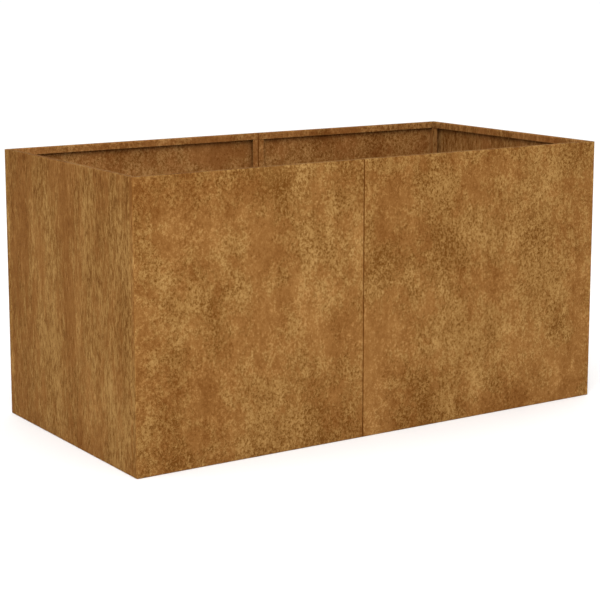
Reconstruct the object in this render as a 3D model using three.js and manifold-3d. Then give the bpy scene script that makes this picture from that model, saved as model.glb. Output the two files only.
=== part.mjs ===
// A flat-pack planter box of folded weathering-steel sheet. Six panels stand on edge, open at the
// top and the bottom. Each is a shallow tray: a wall whose four edges are folded in as a hem and
// then folded once more as a lip. Two panels make each long wall and one makes each end wall, and
// the hems are bolted together at two seams and four corners. The lips are notched at each bolt, to
// let a spanner in.
//
// Millimetres, +Z up. The origin is the centre of the base. The length runs along X, and the front
// faces -Y. A panel's own frame has its outer face on y = 0, its inside towards +Y, its length
// along +X from x = 0, and its lower edge on z = 0.

import * as THREE from "three";
import { mergeVertices } from "three/addons/utils/BufferGeometryUtils.js";
import Module from "manifold-3d";

// The box, to the outside of its walls
const LENGTH = 800;
const WIDTH = 400;
const HEIGHT = 400;
const FRONT_SEAM = 365; // from the left end of the front; the back's is as far from its right end

// The sheet and its folds
const SHEET = 1.2; // thickness
const HEM = 10; // how far a wall's edges are folded in, to the outside of the lip
const LIP = 10; // how far the hem's own edge is folded back
const BEND = 1.5; // outside radius of every fold
const SEAM = 0.1; // gap between two panels, which the bolts pull together
const SLIT = 0.5; // gap where two lips of one panel meet, and behind a corner post's last lip

// The joints: M4 hexagon bolts and nuts through 4.5 mm holes in the hems
const END_BOLT = 70; // from the lower or upper edge to the nearest bolt
const BOLT_HEIGHTS = [END_BOLT, HEIGHT / 2, HEIGHT - END_BOLT];
const ACCESS = 14; // height of the notch in the folds at each bolt, where a spanner gets in
const HOLE = 4.5; // diameter
const BOLT = 3.8; // diameter of the shank
const BOLT_LENGTH = 8; // under the head
const THREAD_HOLE = 4.4; // diameter of a nut's bore, clear of the shank
const FLATS = 7; // across the flats of heads and nuts
const HEAD = 2.8; // height of a head
const NUT = 3.2; // height of a nut
const CHAMFER = 0.5; // height of the chamfer on the corners of heads and nuts
const CHAMFERED_FACE = 0.95 * FLATS; // diameter of the flat that the chamfer leaves
const CLEARANCE = 0.3; // between a head or nut and the sheet that it is tightened on

// How finely round shapes are cut
const BEND_STEPS = 3; // along each fold
const ROUND_STEPS = 16; // around holes and shanks
const HEXAGON_STEPS = 12; // around the chamfers of heads and nuts

const MERGE = 1e-4; // vertices closer than this are one
const OVERSHOOT = 1; // how far a cutter passes through what it cuts

const WEATHERING_STEEL = { color: 0x8f6437, roughness: 0.85, metalness: 0.15 };
const ZINC_PLATED_STEEL = { color: 0x9c9c98, roughness: 0.45, metalness: 0.9 };

const wasm = await Module();
wasm.setup();

// A closed geometry as a solid that can be joined and cut.
function solid(geometry) {
  const bare = geometry.clone();
  bare.deleteAttribute("normal");
  bare.deleteAttribute("uv");
  const merged = mergeVertices(bare, MERGE);
  const triangles = [];
  for (let i = 0; i < merged.index.count; i += 3) {
    const corners = [0, 1, 2].map((k) => merged.index.getX(i + k));
    if (new Set(corners).size === 3) triangles.push(...corners);
  }
  return new wasm.Manifold(
    new wasm.Mesh({
      numProp: 3,
      vertProperties: merged.attributes.position.array,
      triVerts: new Uint32Array(triangles),
    }),
  );
}

// A solid as a geometry with flat faces.
function geometryOf(made) {
  const { vertProperties, triVerts } = made.getMesh();
  const shared = new THREE.BufferGeometry();
  shared.setAttribute("position", new THREE.BufferAttribute(new Float32Array(vertProperties), 3));
  shared.setIndex(new THREE.BufferAttribute(new Uint32Array(triVerts), 1));
  const flat = shared.toNonIndexed();
  flat.computeVertexNormals();
  return flat;
}

// A rectangle from (a0, b0) to (a1, b1) whose corners are rounded to the radii given, in the order
// low a low b, high a low b, high a high b, low a high b.
function rectangle([a0, b0], [a1, b1], radii) {
  const towardsCentre = [
    [1, 1],
    [-1, 1],
    [-1, -1],
    [1, -1],
  ];
  const points = towardsCentre.flatMap(([towardsA, towardsB], quarter) => {
    const radius = radii[quarter];
    const steps = radius > 0 ? BEND_STEPS : 0;
    const centreA = (towardsA > 0 ? a0 : a1) + towardsA * radius;
    const centreB = (towardsB > 0 ? b0 : b1) + towardsB * radius;
    return Array.from({ length: steps + 1 }, (_, step) => {
      const angle = Math.PI + (quarter + step / Math.max(steps, 1)) * (Math.PI / 2);
      return new THREE.Vector2(centreA + radius * Math.cos(angle), centreB + radius * Math.sin(angle));
    });
  });
  return new THREE.Shape(points);
}

// Turns of an extrusion, which rises along Z, so that it runs along X or Y. The axes stay in
// cyclic order, so its section's two directions become Y and Z, or Z and X.
const ALONG_X = new THREE.Matrix4().set(0, 0, 1, 0, 1, 0, 0, 0, 0, 1, 0, 0, 0, 0, 0, 1);
const ALONG_Y = new THREE.Matrix4().set(0, 1, 0, 0, 0, 0, 1, 0, 1, 0, 0, 0, 0, 0, 0, 1);

function extrusion(shape, start, end) {
  const geometry = new THREE.ExtrudeGeometry(shape, { depth: end - start, bevelEnabled: false });
  return geometry.translate(0, 0, start);
}

const SQUARE = [0, 0, 0, 0];

// A block between two corners. xEdges, yEdges and zEdges are the radii of its edges along X, Y and
// Z, in rectangle()'s order for the section that runs along that axis.
function block([x0, y0, z0], [x1, y1, z1], { xEdges, yEdges, zEdges = SQUARE } = {}) {
  let made = solid(extrusion(rectangle([x0, y0], [x1, y1], zEdges), z0, z1));
  if (xEdges) {
    const rounded = extrusion(rectangle([y0, z0], [y1, z1], xEdges), x0, x1).applyMatrix4(ALONG_X);
    made = made.intersect(solid(rounded));
  }
  if (yEdges) {
    const rounded = extrusion(rectangle([z0, x0], [z1, x1], yEdges), y0, y1).applyMatrix4(ALONG_Y);
    made = made.intersect(solid(rounded));
  }
  return made;
}

// A short cylinder that drills a hole through one sheet, centred on the sheet.
function drill(alongX, x, y, z) {
  const length = SHEET + 2 * OVERSHOOT;
  const cylinder = new THREE.CylinderGeometry(HOLE / 2, HOLE / 2, length, ROUND_STEPS);
  if (alongX) {
    cylinder.rotateZ(Math.PI / 2);
  }
  return solid(cylinder.translate(x, y, z));
}

// What a notch at a bolt's height cuts out of the lip, from x = start to x = end.
function lipNotch(start, end, z) {
  const low = [start, HEM - SHEET - OVERSHOOT, z - ACCESS / 2];
  return block(low, [end, HEM + OVERSHOOT, z + ACCESS / 2]);
}

// What a notch at a bolt's height cuts out of a corner post's last fold.
function postNotch(z) {
  const low = [LIP - SHEET - OVERSHOOT, SHEET + SLIT / 2, z - ACCESS / 2];
  return block(low, [LIP + OVERSHOOT, HEM - BEND, z + ACCESS / 2]);
}

// The tray that every panel starts from: a wall with a closed hem round it, and a lip round the
// window on the inside. The lips along the top and bottom run from end to end, and the upright
// ones stop just short of them. The upper and lower edges are also rounded at an end that makes
// an outer corner of the box.
function tray(length, startIsCorner) {
  const round = [BEND, BEND, BEND, BEND];
  const inner = round.map((radius) => radius - SHEET);
  const cornerEdges = startIsCorner ? [BEND, BEND, 0, 0] : SQUARE;
  const outside = block([0, 0, 0], [length, HEM, HEIGHT], {
    xEdges: round,
    yEdges: cornerEdges,
    zEdges: round,
  });
  const hollow = block(
    [SHEET, SHEET, SHEET],
    [length - SHEET, HEM - SHEET, HEIGHT - SHEET],
    { xEdges: inner, yEdges: inner, zEdges: inner },
  );
  const lipInside = HEM - SHEET - OVERSHOOT;
  const lipOutside = HEM + OVERSHOOT;
  const window = block([LIP, lipInside, LIP], [length - LIP, lipOutside, HEIGHT - LIP]);
  const lowerSlit = block([BEND, lipInside, LIP], [length - BEND, lipOutside, LIP + SLIT]);
  const upperSlit = block(
    [BEND, lipInside, HEIGHT - LIP - SLIT],
    [length - BEND, lipOutside, HEIGHT - LIP],
  );
  return outside.subtract(hollow).subtract(window).subtract(lowerSlit).subtract(upperSlit);
}

// A long wall's panel. Its start is a corner of the box: the hem there shows as a narrow strip of
// the end wall, and its lip is folded once more, towards the wall, to close a square post.
function longPanel(length) {
  const low = LIP + SLIT;
  const high = HEIGHT - LIP - SLIT;
  const foldStart = LIP - BEND;
  const room = block([foldStart, HEM - SHEET - OVERSHOOT, low], [LIP, HEM + OVERSHOOT, high]);
  const fold = block([foldStart - OVERSHOOT, SHEET + SLIT, low], [LIP, HEM, high], {
    zEdges: [0, 0, BEND, 0],
  });
  const insideFold = block([0, 0, low - OVERSHOOT], [LIP - SHEET, HEM - SHEET, high + OVERSHOOT], {
    zEdges: [0, 0, BEND - SHEET, 0],
  });
  let panel = tray(length, true).subtract(room).add(fold.subtract(insideFold));
  for (const z of BOLT_HEIGHTS) {
    panel = panel.subtract(drill(false, LIP / 2, HEM - SHEET / 2, z));
    panel = panel.subtract(drill(true, length - SHEET / 2, HEM / 2, z));
    panel = panel.subtract(lipNotch(length - LIP - OVERSHOOT, length - BEND, z));
    panel = panel.subtract(postNotch(z));
  }
  return geometryOf(panel);
}

// An end wall's panel, which fits between the posts of the long walls.
function sidePanel(length) {
  let panel = tray(length, false);
  for (const z of BOLT_HEIGHTS) {
    panel = panel.subtract(drill(true, SHEET / 2, HEM / 2, z));
    panel = panel.subtract(drill(true, length - SHEET / 2, HEM / 2, z));
    panel = panel.subtract(lipNotch(BEND, LIP + OVERSHOOT, z));
    panel = panel.subtract(lipNotch(length - LIP - OVERSHOOT, length - BEND, z));
  }
  return geometryOf(panel);
}

// A hexagon blank from z = 0 to its height, with its corners chamfered at the top, and at the
// bottom too on a nut. Two of its flats face +Y and -Y.
function hexagon(height, bothEnds) {
  const corner = FLATS / Math.sqrt(3);
  const face = CHAMFERED_FACE / 2;
  const wide = corner + CHAMFER;
  const foot = bothEnds ? [[face, 0], [wide, CHAMFER]] : [[wide, 0]];
  const profile = [[0, 0], ...foot, [wide, height - CHAMFER], [face, height], [0, height]];
  const points = profile.map(([radius, z]) => new THREE.Vector2(radius, z));
  const chamfered = new THREE.LatheGeometry(points, HEXAGON_STEPS).rotateX(Math.PI / 2);
  const prism = new THREE.CylinderGeometry(corner, corner, height, 6);
  prism.rotateY(Math.PI / 6).translate(0, height / 2, 0).rotateX(Math.PI / 2);
  return solid(prism).intersect(solid(chamfered));
}

// A bolt along +X, with the underside of its head on x = 0.
function bolt() {
  const overlap = HEAD / 2;
  const shank = new THREE.CylinderGeometry(BOLT / 2, BOLT / 2, BOLT_LENGTH + overlap, ROUND_STEPS);
  shank.rotateX(Math.PI / 2).translate(0, 0, overlap - (BOLT_LENGTH + overlap) / 2);
  const made = hexagon(HEAD, false).add(solid(shank));
  return geometryOf(made).rotateY(-Math.PI / 2);
}

// A nut along +X, from x = 0.
function nut() {
  const bore = new THREE.CylinderGeometry(
    THREAD_HOLE / 2,
    THREAD_HOLE / 2,
    NUT + 2 * OVERSHOOT,
    ROUND_STEPS,
  );
  bore.rotateX(Math.PI / 2).translate(0, 0, NUT / 2);
  const made = hexagon(NUT, true).subtract(solid(bore));
  return geometryOf(made).rotateY(Math.PI / 2);
}

function part(name, geometry, finish) {
  const mesh = new THREE.Mesh(geometry, new THREE.MeshStandardMaterial(finish));
  mesh.name = name;
  return mesh;
}

// The bolts and nuts of one joint, across the seam at x = 0. The heads are on the -X side.
const boltShape = bolt();
const nutShape = nut();
function fasteners(name) {
  const group = new THREE.Group();
  const grip = SEAM / 2 + SHEET + CLEARANCE;
  BOLT_HEIGHTS.forEach((z, i) => {
    const row = ["lower", "middle", "upper"][i];
    const rowBolt = part(`${name}_${row}_bolt`, boltShape, ZINC_PLATED_STEEL);
    const rowNut = part(`${name}_${row}_nut`, nutShape, ZINC_PLATED_STEEL);
    rowBolt.position.set(-grip, 0, z);
    rowNut.position.set(grip, 0, z);
    group.add(rowBolt, rowNut);
  });
  return group;
}

// A long wall, from its left end at x = 0 seen from outside. The longer panel is the shorter
// one's shape turned over end for end, so that its corner is at the right.
const shorterPanel = longPanel(FRONT_SEAM - SEAM / 2);
const longerPanel = longPanel(LENGTH - FRONT_SEAM - SEAM / 2);
function longWall(name, leftName, rightName) {
  const wall = new THREE.Group();
  const left = part(leftName, shorterPanel, WEATHERING_STEEL);
  const right = part(rightName, longerPanel, WEATHERING_STEEL);
  right.rotation.y = Math.PI;
  right.position.set(LENGTH, 0, HEIGHT);
  const seam = fasteners(`${name}_seam`);
  seam.position.set(FRONT_SEAM, HEM / 2, 0);
  wall.add(left, right, seam);
  return wall;
}

// An end wall, with the joints to the long walls at both its ends.
const SIDE_LENGTH = WIDTH - 2 * (HEM + SEAM);
const sideShape = sidePanel(SIDE_LENGTH);
function endWall(name, startCorner, endCorner) {
  const wall = new THREE.Group();
  const start = fasteners(`${startCorner}_corner`);
  const end = fasteners(`${endCorner}_corner`);
  start.rotation.z = Math.PI;
  start.position.set(-SEAM / 2, HEM / 2, 0);
  end.position.set(SIDE_LENGTH + SEAM / 2, HEM / 2, 0);
  wall.add(part(`${name}_side_panel`, sideShape, WEATHERING_STEEL), start, end);
  return wall;
}

const planter = new THREE.Group();

const front = longWall("front", "front_left_panel", "front_right_panel");
front.position.set(-LENGTH / 2, -WIDTH / 2, 0);

const back = longWall("back", "back_right_panel", "back_left_panel");
back.rotation.z = Math.PI;
back.position.set(LENGTH / 2, WIDTH / 2, 0);

const left = endWall("left", "back_left", "front_left");
left.rotation.z = -Math.PI / 2;
left.position.set(-LENGTH / 2, SIDE_LENGTH / 2, 0);

const right = endWall("right", "front_right", "back_right");
right.rotation.z = Math.PI / 2;
right.position.set(LENGTH / 2, -SIDE_LENGTH / 2, 0);

planter.add(front, back, left, right);

export default planter;
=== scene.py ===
"""The looks of a weathering-steel planter box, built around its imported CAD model.

Metres, +Z up. The origin is the centre of the base, the length runs along X, and the front faces -Y.
The panels keep their CAD meshes and get a rust material each. The bolts and nuts are replaced by
pieces with real threads.
"""

import math

import bmesh
import bpy
from mathutils import Matrix, Vector


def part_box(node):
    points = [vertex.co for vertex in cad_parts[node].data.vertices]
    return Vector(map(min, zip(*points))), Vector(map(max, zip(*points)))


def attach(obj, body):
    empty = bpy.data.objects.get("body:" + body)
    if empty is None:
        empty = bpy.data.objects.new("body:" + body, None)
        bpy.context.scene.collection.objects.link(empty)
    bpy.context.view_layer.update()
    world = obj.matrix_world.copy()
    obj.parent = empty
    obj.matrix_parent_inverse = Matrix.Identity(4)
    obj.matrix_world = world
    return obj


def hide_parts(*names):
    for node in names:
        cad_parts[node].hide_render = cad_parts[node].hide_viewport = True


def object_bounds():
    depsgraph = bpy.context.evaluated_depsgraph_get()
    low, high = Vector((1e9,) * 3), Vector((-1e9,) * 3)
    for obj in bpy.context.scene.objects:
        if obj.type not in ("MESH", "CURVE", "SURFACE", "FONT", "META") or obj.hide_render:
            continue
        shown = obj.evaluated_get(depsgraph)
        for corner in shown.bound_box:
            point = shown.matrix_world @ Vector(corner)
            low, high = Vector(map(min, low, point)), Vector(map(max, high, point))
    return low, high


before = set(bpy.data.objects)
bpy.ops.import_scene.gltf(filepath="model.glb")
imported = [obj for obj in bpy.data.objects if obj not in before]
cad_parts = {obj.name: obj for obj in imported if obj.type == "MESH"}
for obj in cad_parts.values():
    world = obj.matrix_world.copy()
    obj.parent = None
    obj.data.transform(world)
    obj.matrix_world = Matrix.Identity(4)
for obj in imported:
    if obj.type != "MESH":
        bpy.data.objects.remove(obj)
cad_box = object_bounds()

MM = 0.001

# The camera, off the box's front left corner and above its rim
CAMERA_PLACE = (-1.401, -2.100, 0.671)
CAMERA_AZIMUTH = -33.51
CAMERA_ELEVATION = 9.35  # degrees that it looks down
CAMERA_LENS = 101.2  # mm
CAMERA_SENSOR = 36  # mm wide
CAMERA_SHIFT = -0.1  # of the picture's width, which puts the box at its middle

WORLD_STRENGTH = 1.15  # of the even white light from all round
FLOOR_SIDE = 80.0
FLOOR_GAP = 0.2 * MM  # below the base, so that the two never lie in one plane
FLOOR_WHITE = (0.9, 0.9, 0.9, 1)
FLOOR_ROUGHNESS = 0.9

# The key light, a large softbox above and behind the camera
KEY_AZIMUTH = -34.0  # degrees
KEY_ELEVATION = 35.0  # degrees
KEY_DISTANCE = 4.5  # from the origin
KEY_SIZE = 2.8  # of its sides
KEY_POWER = 140.0  # W
LIGHT_LEVEL = 1.62  # on the front wall, where 1 would show a colour as it is


def linear(red, green, blue):
    """The base colour that shows on the front wall as red, green and blue from 0 to 255."""
    shown = [((value / 255 + 0.055) / 1.055) ** 2.4 for value in (red, green, blue)]
    return (*[value / LIGHT_LEVEL for value in shown], 1)


# Rust colours, from the darkest tone to the palest, and where each is on the scale of tones
RUST_TONES = (
    linear(110, 65, 22),
    linear(130, 85, 38),
    linear(150, 105, 54),
    linear(170, 125, 70),
    linear(190, 145, 88),
)
TONE_STOPS = (0.2, 0.35, 0.5, 0.65, 0.8)

# Tints that the tones are multiplied by: two kinds of rust, and painted light that makes the faces
# inside the box paler, as more light on them would
RED_TINT = (1.025, 0.982, 0.965, 1)
OLIVE_TINT = (0.975, 1.012, 1.0, 1)
# Painted light: the faces inside the box are made paler, as if more light reached them
INSIDE_PAINTED_LIGHT_TINT = (1.18, 1.1, 1.15, 1)
INSIDE = -0.01  # m; a face looks into the box where its place along its own normal is less than this

# Each panel has a stretch of the pattern of its own
RUST_STEP = Vector((0.37, 0.61, 0.23))
RUST_SEEDS = {
    "front_left_panel": 215,
    "front_right_panel": 173,
    "left_side_panel": 85,
    "right_side_panel": 38,
    "back_left_panel": 4,
    "back_right_panel": 57,
}

# The rust's noises: the scale of each, per metre, its detail and its roughness
NOISES = {
    "blotch": (7, 6, 0.9),
    "wash": (25, 3, 0.7),
    "clump": (45, 4, 0.9),
    "grain": (260, 3, 0.9),
    "pits": (1800, 2, 0.7),
    "ochre_region": (8, 5, 0.75),
    "dark_region": (9, 4, 0.65),
}
NOISE_MEAN = 0.5  # of each noise

# Turns of the pattern, so that its own axes never lie along a wall
RUST_TURN = (0.6, 0.4, 0.9)
DARK_TURN = (2.1, 1.2, 0.3)

# How much the pattern is stretched upright, as a share of its frequency along Z
WALL_STRETCH = 0.85
END_STRETCH = 0.3  # on faces that look along X, which rain runs down
WASH_STRETCH = 0.15
FACES_X = 0.7  # a face looks along X where its normal's X is more than this

# Shares of the surface: what each depends on, by weight, and the sums that it is 0 and 1 at
OCHRE = ({"ochre_region": 1.0, "clump": 0.8, "grain": 1.4}, (1.56, 1.76))
DARK = ({"dark_region": 1.0, "clump": 0.6, "grain": -1.6, "border": 0.06}, (0.08, 0.28))
OLIVE = ({"ochre_region": 0.6, "dark_region": 0.4, "clump": 0.4}, (0.64, 0.76))
GRANULAR = ({"ochre_region": 1.0, "clump": 0.6}, (0.72, 0.9))

BORDER = (0.14, 0.2)  # m up or down from a wall's middle, where the stain begins and where it is full
WEAR_WIDTH = 4 * MM
WEAR_CLUMPS = (0.42, 0.58)  # the clump noise where edges aren't worn, and where they are
JOINT_PAINTED_SHADE = (0.5 * MM, 1.5 * MM)  # painted shade in the gap where two long panels meet: from a long wall's joint, where it starts to fade and where it ends

# How far each noise and each mark moves the tone, before the reach
NOISE_TONES = {"blotch": 0.9, "clump": 0.3, "wash": 0.35, "pits": 0.5}
# The joint's tone darkens the seam between the long panels with painted shade
MARK_TONES = {"ochre": 0.14, "dark": -0.14, "border": -0.05, "wear": 0.12, "joint": -0.4}
GRAIN_TONES = (0.3, 0.85)  # on smooth rust, and on granular rust
TONE_MIDDLE = 0.45
TONE_REACH = (0.9, 0.8)  # on most faces, and on faces that look along X

# The rust's relief and gloss
RELIEF = {"grain": 1.0, "pits": 0.4, "clump": 1.0}
RELIEF_STRENGTH = 0.3
RELIEF_DEPTH = 0.3 * MM
RUST_ROUGHNESS = (0.85, 1.0)
RUST_GLOSS = 0.03
GRAIN_SPREAD = (0.4, 0.6)  # most of the grain noise lies between these

# The zinc plate on the fasteners: its two noises, as above, and what they change
ZINC_FILM = (400, 4, 0.6)
ZINC_STAIN = (120, 6, 0.7)
STAINED = (0.55, 0.7)  # the stain noise where rust begins, and where it is full
FILM_SPREAD = (0.3, 0.7)  # most of the film noise lies between these
ZINC_TONES = ((0.36, 0.36, 0.35, 1), (0.55, 0.55, 0.53, 1))
ZINC_ROUGHNESS = (0.35, 0.6)

# M4 bolts and nuts, in millimetres, as long and as thick as the CAD ones
FLATS = 7.0  # across the flats
HEAD = 2.8  # height
NUT = 3.2  # height
BOLT_LENGTH = 8.0  # under the head
BOLT = 3.8  # diameter over the thread's crests
BOLT_ROOT = 3.1  # diameter over the thread's roots
NUT_ROOT = 4.5  # diameter of the nut's bore, over its thread's roots
NUT_CREST = 3.95  # diameter of the nut's bore, over its thread's crests
PITCH = 0.7  # of the threads
THREAD_RUNOUT = 0.15  # from the thread's root to the bolt's point, on the radius
THREAD_CORNERS = ((0, "root"), (0.2, "root"), (0.5, "crest"), (0.7, "crest"))  # along one turn
SPARE_TURNS = 2  # of thread, below z = 0, to cut the rod's end from
TAP_PAST = 1.0  # how far the tap passes through each face of a nut
CHAMFERED_FACE = 6.6  # diameter of the flat that the chamfer leaves
CHAMFER_ANGLE = 30.0  # degrees
WASHER_FACE = 0.15  # height of the round face under a head
DISH = 4.6  # diameter of the hollow in a head
DISH_DEPTH = 0.25
ROUND_STEPS = 24  # around every round shape
SMOOTH_ANGLE = 25.0  # degrees; sharper edges stay sharp
SAME_PLACE = 1e-4  # heights closer than this are one

WELD_GAP = 0.01 * MM  # the CAD meshes' triangles are joined where they are closer than this

HALF_HEIGHT = (cad_box[0].z + cad_box[1].z) / 2

# The names of the surface shader's sockets
SOCKETS = {
    "base_color": "Base Color",
    "metallic": "Metallic",
    "roughness": "Roughness",
    "specular": "Specular IOR Level",
    "normal": "Normal",
}

# A Mix node has sockets of the same names for each kind of data. These are the colour ones' places.
MIX_FACTOR = 0
MIX_A = 6
MIX_B = 7
MIX_RESULT = 2


class Shader:
    """A new material, and short ways to add nodes to it. Each returns the new node's output."""

    def __init__(self, name):
        self.material = bpy.data.materials.new(name)
        self.material.use_nodes = True
        self.tree = self.material.node_tree
        self.tree.nodes.clear()
        self.surface = self.tree.nodes.new("ShaderNodeBsdfPrincipled")
        end = self.tree.nodes.new("ShaderNodeOutputMaterial")
        self.tree.links.new(self.surface.outputs["BSDF"], end.inputs["Surface"])

    def put(self, socket, value):
        if isinstance(value, bpy.types.NodeSocket):
            self.tree.links.new(value, socket)
        else:
            socket.default_value = value

    def node(self, kind, output, inputs=None, **settings):
        made = self.tree.nodes.new(kind)
        for name, value in settings.items():
            setattr(made, name, value)
        for name, value in (inputs or {}).items():
            self.put(made.inputs[name], value)
        return made.outputs[output]

    def finish(self, **values):
        for name, value in values.items():
            self.put(self.surface.inputs[SOCKETS[name]], value)
        return self.material

    def split(self, vector):
        """The outputs of a node that splits a vector: X, Y and Z."""
        made = self.tree.nodes.new("ShaderNodeSeparateXYZ")
        self.put(made.inputs[0], vector)
        return made.outputs

    def mapped(self, place, offset, turn, scale):
        sockets = {"Vector": place, "Location": offset, "Rotation": turn, "Scale": scale}
        return self.node("ShaderNodeMapping", 0, sockets)

    def noise(self, place, scale, detail, roughness):
        sockets = {"Vector": place, "Scale": scale, "Detail": detail, "Roughness": roughness}
        return self.node("ShaderNodeTexNoise", "Fac", sockets, noise_dimensions="3D")

    def math(self, operation, a, b=0.0):
        return self.node("ShaderNodeMath", 0, {0: a, 1: b}, operation=operation)

    def add_up(self, start, *parts):
        """start and each part's value times its weight."""
        total = start
        for value, weight in parts:
            sockets = {0: value, 1: weight, 2: total}
            total = self.node("ShaderNodeMath", 0, sockets, operation="MULTIPLY_ADD")
        return total

    def weigh(self, values, weights):
        """The sum of the named values, each times its weight."""
        return self.add_up(0.0, *[(values[name], weight) for name, weight in weights.items()])

    def span(self, value, low, high, to_low=0.0, to_high=1.0, smooth=False):
        """value, from low to high, as a number from to_low to to_high, and no further."""
        sockets = {
            "Value": value,
            "From Min": low,
            "From Max": high,
            "To Min": to_low,
            "To Max": to_high,
        }
        kind = "SMOOTHSTEP" if smooth else "LINEAR"
        return self.node("ShaderNodeMapRange", 0, sockets, interpolation_type=kind)

    def mix(self, share, a, b, blend="MIX"):
        """Colour a, with this share of colour b."""
        sockets = {MIX_FACTOR: share, MIX_A: a, MIX_B: b}
        settings = {"data_type": "RGBA", "blend_type": blend}
        return self.node("ShaderNodeMix", MIX_RESULT, sockets, **settings)

    def tint(self, colour, by):
        return self.mix(1.0, colour, by, "MULTIPLY")

    def ramp(self, value, *stops):
        """The colour at value between stops, which are (position, colour)."""
        made = self.tree.nodes.new("ShaderNodeValToRGB")
        elements = made.color_ramp.elements
        for position, colour in stops[1:-1]:
            elements.new(position).color = colour
        elements[0].position, elements[0].color = stops[0]
        elements[-1].position, elements[-1].color = stops[-1]
        self.put(made.inputs["Fac"], value)
        return made.outputs["Color"]


def near_edges(shader, place, box):
    """1 on the edges of a panel's box, and 0 beyond WEAR_WIDTH from them.

    Near an edge two faces of the box are near, so the second smallest gap to them is what counts.
    """
    gaps = []
    for value, low, high in zip(shader.split(place), *box):
        from_low = shader.math("SUBTRACT", value, low)
        from_high = shader.math("SUBTRACT", high, value)
        gaps.append(shader.math("MINIMUM", from_low, from_high))
    x, y, z = gaps
    lesser = shader.math("MINIMUM", x, y)
    greater = shader.math("MAXIMUM", x, y)
    second = shader.math("MAXIMUM", lesser, shader.math("MINIMUM", greater, z))
    return shader.span(second, 0, WEAR_WIDTH, 1, 0)


def near_border(shader, z):
    """1 at a wall's foot and rim, and 0 over its middle."""
    height = shader.math("ABSOLUTE", shader.math("SUBTRACT", z, HALF_HEIGHT))
    return shader.span(height, *BORDER)


def near_joint(shader, x, box):
    """Painted shade at the joint: 1 on the end of a long panel that meets the next one, and 0 away from
    it and on an end panel.
    """
    joint = min((corner.x for corner in box), key=abs)
    if abs(joint) > cad_box[1].x / 2:
        return 0.0
    gap = shader.math("ABSOLUTE", shader.math("SUBTRACT", x, joint))
    return shader.span(gap, *JOINT_PAINTED_SHADE, 1, 0)


def rust_noises(shader, place, offset, looks_x):
    """The noises that the rust is made of, by name."""
    stretch = shader.span(looks_x, 0, 1, WALL_STRETCH, END_STRETCH)
    scale = shader.node("ShaderNodeCombineXYZ", 0, {"X": 1.0, "Y": 1.0, "Z": stretch})
    spot = shader.mapped(place, offset, RUST_TURN, scale)
    places = {
        "wash": shader.mapped(place, offset, (0, 0, 0), (1, 1, WASH_STRETCH)),
        "pits": shader.mapped(place, (0, 0, 0), RUST_TURN, scale),
        "dark_region": shader.mapped(place, offset, DARK_TURN, scale),
    }
    return {name: shader.noise(places.get(name, spot), *NOISES[name]) for name in NOISES}


def share(shader, values, weights, levels, smooth=True):
    """A share that goes from 0 to 1 as the weighted sum of the values goes between the levels."""
    return shader.span(shader.weigh(values, weights), *levels, smooth=smooth)


def rust_tone(shader, values, looks_x):
    """Where the rust is on the scale of tones."""
    parts = []
    for name, weight in NOISE_TONES.items():
        parts.append((shader.math("SUBTRACT", values[name], NOISE_MEAN), weight))
    granular = share(shader, values, *GRANULAR, smooth=False)
    grain = shader.math("SUBTRACT", values["grain"], NOISE_MEAN)
    parts.append((grain, shader.span(granular, 0, 1, *GRAIN_TONES)))
    for name, weight in MARK_TONES.items():
        parts.append((values[name], weight))
    contrast = shader.add_up(0.0, *parts)
    return shader.add_up(TONE_MIDDLE, (contrast, shader.span(looks_x, 0, 1, *TONE_REACH)))


def inside(shader, place, normal):
    """1 on faces that look into the box, and 0 on its outer walls."""
    level = shader.node("ShaderNodeVectorMath", 0, {0: place, 1: (1, 1, 0)}, operation="MULTIPLY")
    outwards = shader.node("ShaderNodeVectorMath", 1, {0: level, 1: normal}, operation="DOT_PRODUCT")
    return shader.math("LESS_THAN", outwards, INSIDE)


def rust(name, offset, box):
    """Weathering steel: a smooth red-brown rust and a granular ochre one, with dark specks."""
    shader = Shader(name)
    place = shader.node("ShaderNodeTexCoord", "Object")
    normal = shader.node("ShaderNodeNewGeometry", "Normal")
    normal_x = shader.math("ABSOLUTE", shader.split(normal)["X"])
    looks_x = shader.math("GREATER_THAN", normal_x, FACES_X)

    values = rust_noises(shader, place, offset, looks_x)
    worn = shader.span(values["clump"], *WEAR_CLUMPS)
    values["wear"] = shader.math("MULTIPLY", near_edges(shader, place, box), worn)
    values["border"] = near_border(shader, shader.split(place)["Z"])
    # Painted shade: the ends of the long panels are darkened where they meet, as the gap between them
    # would be shaded
    values["joint"] = near_joint(shader, shader.split(place)["X"], box)
    values["ochre"] = share(shader, values, *OCHRE)
    values["dark"] = share(shader, values, *DARK)

    colour = shader.ramp(rust_tone(shader, values, looks_x), *zip(TONE_STOPS, RUST_TONES))
    olive = share(shader, values, *OLIVE)
    colour = shader.tint(colour, shader.mix(olive, RED_TINT, OLIVE_TINT))
    # Painted light: the faces inside the box are made paler, as if more light reached them
    painted_light_inside = shader.tint(colour, INSIDE_PAINTED_LIGHT_TINT)
    colour = shader.mix(inside(shader, place, normal), colour, painted_light_inside)
    relief = {
        "Strength": RELIEF_STRENGTH,
        "Distance": RELIEF_DEPTH,
        "Height": shader.weigh(values, RELIEF),
    }
    return shader.finish(
        base_color=colour,
        roughness=shader.span(values["grain"], *GRAIN_SPREAD, *RUST_ROUGHNESS),
        specular=RUST_GLOSS,
        normal=shader.node("ShaderNodeBump", "Normal", relief),
    )


def zinc(name):
    """Zinc plate on the fasteners, dulled, with a little rust."""
    shader = Shader(name)
    place = shader.node("ShaderNodeTexCoord", "Object")
    film = shader.noise(place, *ZINC_FILM)
    stain = shader.span(shader.noise(place, *ZINC_STAIN), *STAINED, smooth=True)
    grey = shader.ramp(film, *zip(FILM_SPREAD, ZINC_TONES))
    return shader.finish(
        base_color=shader.mix(stain, grey, RUST_TONES[1]),
        roughness=shader.span(film, *FILM_SPREAD, *ZINC_ROUGHNESS),
        metallic=shader.span(stain, 0, 1, 1, 0),
    )


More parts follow.
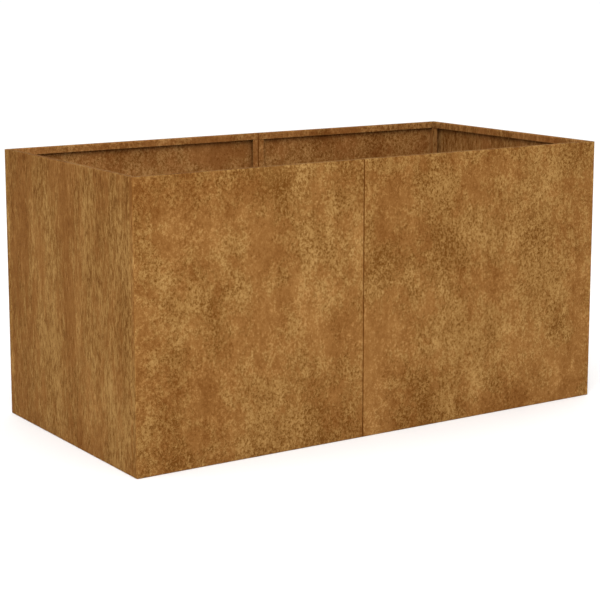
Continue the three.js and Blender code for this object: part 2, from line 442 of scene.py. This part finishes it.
def finish_panels():
    """Rust on the CAD panels, with their triangles joined."""
    for name, seed in RUST_SEEDS.items():
        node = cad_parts[name]
        node.data.materials.clear()
        node.data.materials.append(rust(f"rust_{name}", RUST_STEP * seed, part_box(name)))
        weld = node.modifiers.new("weld", "WELD")
        weld.merge_threshold = WELD_GAP


def object_of(name, builder):
    """A new object from a bmesh, which is used up, with its faces turned to look out."""
    bmesh.ops.recalc_face_normals(builder, faces=builder.faces)
    mesh = bpy.data.meshes.new(name)
    builder.to_mesh(mesh)
    builder.free()
    made = bpy.data.objects.new(name, mesh)
    bpy.context.scene.collection.objects.link(made)
    return made


def turned(name, rows):
    """A closed solid round Z. Each row is its points' (radius, z), one for each of ROUND_STEPS."""
    builder = bmesh.new()
    rings = []
    for row in rows:
        ring = []
        for step, (radius, z) in enumerate(row):
            angle = math.tau * step / ROUND_STEPS
            ring.append(builder.verts.new((radius * math.cos(angle), radius * math.sin(angle), z)))
        rings.append(ring)
    for low, high in zip(rings, rings[1:]):
        for step in range(ROUND_STEPS):
            after = (step + 1) % ROUND_STEPS
            builder.faces.new((low[step], low[after], high[after], high[step]))
    builder.faces.new(rings[0])
    builder.faces.new(rings[-1])
    return object_of(name, builder)


def circle(radius, z):
    return [(radius, z)] * ROUND_STEPS


def hexagon(radius_of_face, z, rise):
    """A row on the flats of a hexagon. It leaves z at the rate rise beyond the face's circle."""
    row = []
    for step in range(ROUND_STEPS):
        past_corner = (math.tau * step / ROUND_STEPS) % (math.tau / 6)
        radius = FLATS / 2 / math.cos(past_corner - math.tau / 12)
        row.append((radius, z + rise * (radius - radius_of_face)))
    return row


def thread_row(builder, start, radius, core, end, point):
    """One turn of one edge of a thread, which climbs by PITCH from z = start."""
    row = []
    for step in range(ROUND_STEPS):
        z = start + PITCH * step / ROUND_STEPS
        shown = min(radius, max(core, point + end - z)) if z < end else core
        angle = math.tau * step / ROUND_STEPS
        row.append(builder.verts.new((shown * math.cos(angle), shown * math.sin(angle), z)))
    return row


def cut_off(builder, z, side):
    """Closes the rod with a flat end at z, and takes away what is above (side 1) or below it (-1)."""
    everything = builder.verts[:] + builder.edges[:] + builder.faces[:]
    bmesh.ops.bisect_plane(
        builder, geom=everything, plane_co=(0, 0, z), plane_no=(0, 0, side), clear_outer=True
    )
    rim = []
    for edge in builder.edges:
        if edge.is_boundary and abs(edge.verts[0].co.z - z) < SAME_PLACE:
            rim.append(edge)
    bmesh.ops.holes_fill(builder, edges=rim, sides=0)


def thread(name, root, crest, end, point):
    """A threaded rod along Z from z = 0 to end, which narrows towards its end to the radius point."""
    builder = bmesh.new()
    radii = {"root": root, "crest": crest}
    rows = []
    for turn in range(-SPARE_TURNS, math.ceil(end / PITCH) + 1):
        for part, kind in THREAD_CORNERS:
            start = (turn + part) * PITCH
            rows.append(thread_row(builder, start, radii[kind], root - THREAD_RUNOUT, end, point))
    one_turn = len(THREAD_CORNERS)
    for i in range(len(rows) - one_turn - 1):
        low = rows[i] + rows[i + one_turn][:1]
        high = rows[i + 1] + rows[i + 1 + one_turn][:1]
        for step in range(ROUND_STEPS):
            builder.faces.new((low[step], low[step + 1], high[step + 1], high[step]))
    cut_off(builder, 0, -1)
    cut_off(builder, end, 1)
    return object_of(name, builder)


def combine(made, tool, operation):
    """made, joined to or cut by tool, which is used up."""
    cut = made.modifiers.new(operation, "BOOLEAN")
    cut.operation = operation
    cut.solver = "EXACT"
    cut.object = tool
    bpy.context.view_layer.update()
    shaped = made.evaluated_get(bpy.context.evaluated_depsgraph_get())
    mesh = bpy.data.meshes.new_from_object(shaped)
    made.modifiers.clear()
    made.data = mesh
    bpy.data.objects.remove(tool)


def make_bolt():
    """An M4 hexagon bolt. Its head is below z = 0 and it points along +Z."""
    face = CHAMFERED_FACE / 2
    rise = math.tan(math.radians(CHAMFER_ANGLE))
    head = turned(
        "bolt",
        [
            circle(face, 0),
            circle(face, -WASHER_FACE),
            hexagon(face, -WASHER_FACE, 0),
            hexagon(face, -HEAD, rise),
            circle(face, -HEAD),
            circle(DISH / 2, -HEAD),
            circle(DISH / 2 - DISH_DEPTH, -HEAD + DISH_DEPTH),
        ],
    )
    shank = thread("shank", BOLT_ROOT / 2, BOLT / 2, BOLT_LENGTH + HEAD / 2, BOLT_ROOT / 2)
    shank.data.transform(Matrix.Translation((0, 0, -HEAD / 2)))
    combine(head, shank, "UNION")
    return head


def make_nut():
    """An M4 hexagon nut, from z = 0."""
    face = CHAMFERED_FACE / 2
    rise = math.tan(math.radians(CHAMFER_ANGLE))
    nut = turned(
        "nut",
        [circle(face, 0), hexagon(face, 0, rise), hexagon(face, NUT, -rise), circle(face, NUT)],
    )
    tap = thread("tap", NUT_CREST / 2, NUT_ROOT / 2, NUT + 2 * TAP_PAST, NUT_ROOT / 2)
    tap.data.transform(Matrix.Translation((0, 0, -TAP_PAST)))
    combine(nut, tap, "DIFFERENCE")
    return nut


def middle(name):
    """The centre of a CAD node's box."""
    low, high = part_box(name)
    return (low + high) / 2


def add_fastener(name, shape, start, turn, steel):
    """A copy of shape instead of the plain CAD node, turned and with its own z = 0 at start."""
    mesh = shape.data.copy()
    mesh.transform(Matrix.Translation(start) @ turn @ Matrix.Scale(MM, 4))
    mesh.materials.clear()
    mesh.materials.append(steel)
    mesh.shade_smooth()
    mesh.set_sharp_from_angle(angle=math.radians(SMOOTH_ANGLE))
    piece = bpy.data.objects.new(f"{name}_threaded", mesh)
    bpy.context.scene.collection.objects.link(piece)
    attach(piece, "root")
    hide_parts(name)


def finish_fasteners():
    """Threaded bolts and nuts instead of the plain ones, where those are."""
    steel = zinc("zinc_plate")
    bolt_shape = make_bolt()
    nut_shape = make_nut()
    up = Vector((0, 0, 1))
    for bolt in [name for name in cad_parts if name.endswith("_bolt")]:
        nut = bolt.replace("_bolt", "_nut")
        axis = (middle(nut) - middle(bolt)).normalized()
        turn = Matrix((up, axis.cross(up), axis)).transposed().to_4x4()
        under_head = middle(bolt) + axis * (HEAD - (HEAD + BOLT_LENGTH) / 2) * MM
        nut_start = middle(nut) - axis * NUT / 2 * MM
        add_fastener(bolt, bolt_shape, under_head, turn, steel)
        add_fastener(nut, nut_shape, nut_start, turn, steel)
    for shape in (bolt_shape, nut_shape):
        bpy.data.objects.remove(shape)


def direction(azimuth, elevation):
    """The way to the box from this azimuth and elevation round it, in degrees."""
    turn = math.radians(azimuth)
    tilt = math.radians(elevation)
    return Vector((-math.sin(turn) * math.cos(tilt), math.cos(turn) * math.cos(tilt), -math.sin(tilt)))


def make_floor():
    half = FLOOR_SIDE / 2
    mesh = bpy.data.meshes.new("floor")
    corners = [(-half, -half), (half, -half), (half, half), (-half, half)]
    mesh.from_pydata([(x, y, -FLOOR_GAP) for x, y in corners], [], [(0, 1, 2, 3)])
    floor = bpy.data.objects.new("floor", mesh)
    bpy.context.scene.collection.objects.link(floor)
    shader = Shader("floor_paint")
    mesh.materials.append(shader.finish(base_color=FLOOR_WHITE, roughness=FLOOR_ROUGHNESS))


def make_light():
    world = bpy.data.worlds.new("studio")
    world.use_nodes = True
    background = world.node_tree.nodes["Background"]
    background.inputs["Color"].default_value = (1, 1, 1, 1)
    background.inputs["Strength"].default_value = WORLD_STRENGTH
    bpy.context.scene.world = world

    data = bpy.data.lights.new("key", "AREA")
    data.size = KEY_SIZE
    data.energy = KEY_POWER
    key = bpy.data.objects.new("key", data)
    looks = direction(KEY_AZIMUTH, KEY_ELEVATION)
    key.location = -looks * KEY_DISTANCE
    key.rotation_euler = looks.to_track_quat("-Z", "Y").to_euler()
    key.visible_camera = False
    bpy.context.scene.collection.objects.link(key)


def make_camera():
    looks = direction(CAMERA_AZIMUTH, CAMERA_ELEVATION)
    data = bpy.data.cameras.new("camera")
    data.lens = CAMERA_LENS
    data.sensor_width = CAMERA_SENSOR
    data.shift_y = CAMERA_SHIFT
    camera = bpy.data.objects.new("camera", data)
    camera.location = CAMERA_PLACE
    camera.rotation_euler = looks.to_track_quat("-Z", "Y").to_euler()
    bpy.context.scene.collection.objects.link(camera)
    bpy.context.scene.camera = camera


bpy.context.scene.view_settings.view_transform = "Standard"
make_camera()
make_light()
make_floor()
finish_panels()
finish_fasteners()
